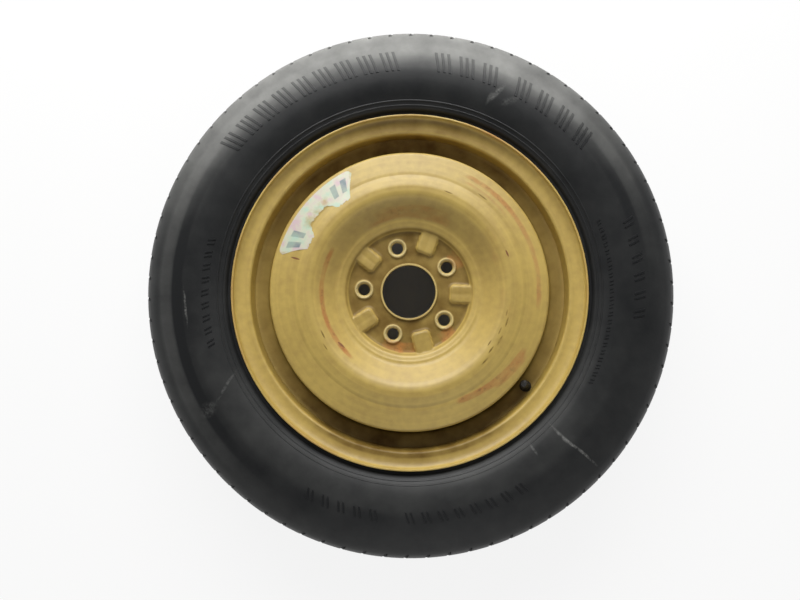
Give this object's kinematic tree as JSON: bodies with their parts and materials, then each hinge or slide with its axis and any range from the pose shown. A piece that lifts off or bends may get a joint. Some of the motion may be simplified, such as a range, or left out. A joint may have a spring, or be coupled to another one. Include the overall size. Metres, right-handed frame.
{
  "type": "spare wheel",
  "caption": "Temporary spare wheel: yellow pressed-steel disc with a deep bowl, welded into a rolled rim, with a narrow black tyre and a capped snap-in valve.",
  "frame": {"origin": "centre of the wheel, on its axis and midway between the rim's flanges", "axes": "+Z along the wheel's axis towards the outboard face, which is up as the wheel lies on its inboard sidewall; the picture's right is +X and its top is +Y"},
  "size_m": [0.6674, 0.6674, 0.145],
  "materials": {
    "tyre_rubber": "matt black rubber, dusty and lightly scuffed",
    "yellow_paint": "dull mustard yellow paint on steel, stained with rust",
    "label_film": "worn silvery white film with plain fields of blue grey",
    "valve_rubber": "black moulded rubber",
    "brass": "turned brass",
    "spring_steel": "bright spring wire",
    "cap_plastic": "black moulded plastic"
  },
  "bodies": {
    "wheel": {"tyre": "tyre_rubber", "rim": "yellow_paint", "disc": "yellow_paint", "disc_welds": "yellow_paint", "label": "label_film", "valve_body": "valve_rubber", "valve_stem": "brass", "core_plug": "brass", "core_spring": "spring_steel"},
    "pin": {"core_pin": "brass", "core_seal": "valve_rubber"},
    "cap": {"valve_cap": "cap_plastic", "cap_seal": "valve_rubber"}
  },
  "joints": [
    {"name": "cap_off", "type": "slide", "parent": "wheel", "child": "cap", "axis": [-0.2402, 0.1945, 0.9511], "range_m": [0, 0.014]},
    {"name": "pin_press", "type": "slide", "parent": "wheel", "child": "pin", "axis": [-0.2402, 0.1945, 0.9511], "range_m": [-0.0012, 0], "stiffness_N_per_m": 600, "springref_m": 0.001, "deforming": ["core_spring"]}
  ]
}
